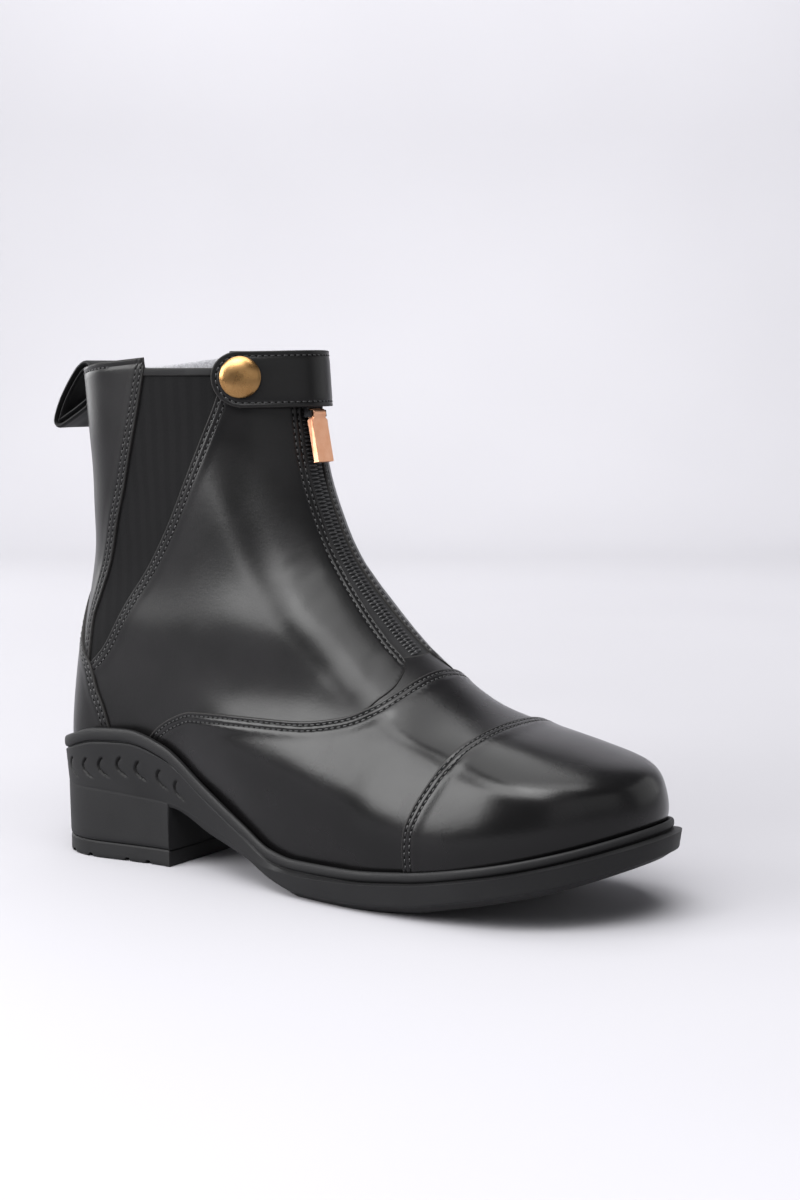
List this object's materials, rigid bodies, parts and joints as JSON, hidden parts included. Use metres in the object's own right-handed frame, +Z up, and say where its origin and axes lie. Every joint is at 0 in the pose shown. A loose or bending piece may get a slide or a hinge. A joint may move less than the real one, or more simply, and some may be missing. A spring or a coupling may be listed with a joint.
{
  "type": "jodhpur boot",
  "caption": "Ankle-high black leather jodhpur boot for the right foot, with a front zip, snap strap, elastic side gores, heel pull loop and a low-heeled rubber sole.",
  "frame": {"origin": "on the floor, under the middle of the heel", "axes": "+X points to the toe, -Y to the outer side of the foot, +Z up"},
  "size_m": [0.2758, 0.0999, 0.2042],
  "materials": {
    "leather": "smooth black grain leather, semi-gloss",
    "lining": "grey brushed textile lining",
    "elastic": "matte black ribbed elastic",
    "webbing": "matte black woven webbing",
    "zip": "black coil zip on woven tape",
    "rubber": "matte black moulded rubber",
    "brass": "satin antique brass",
    "copper": "satin copper plating"
  },
  "bodies": {
    "boot": {"upper": "lining", "toe_cap": "leather", "vamp": "leather", "quarter_outer": "leather", "quarter_inner": "leather", "gore_outer": "elastic", "gore_inner": "elastic", "back_strap": "leather", "heel_counter": "leather", "pull_loop": "webbing", "zip_chain": "zip", "throat_patch": "leather", "zip_slider": "zip", "snap_strap": "leather", "snap_cap": "brass", "insole": "lining", "sole_unit": "rubber", "heel_top_piece": "rubber"},
    "zip_pull": {"zip_pull": "copper"}
  },
  "joints": [
    {"name": "zip_pull_swing", "type": "hinge", "parent": "boot", "child": "zip_pull", "pos_m": [0.08145, -0.00048, 0.17982], "axis": [0, -1, 0], "range_deg": [0, 75]}
  ]
}
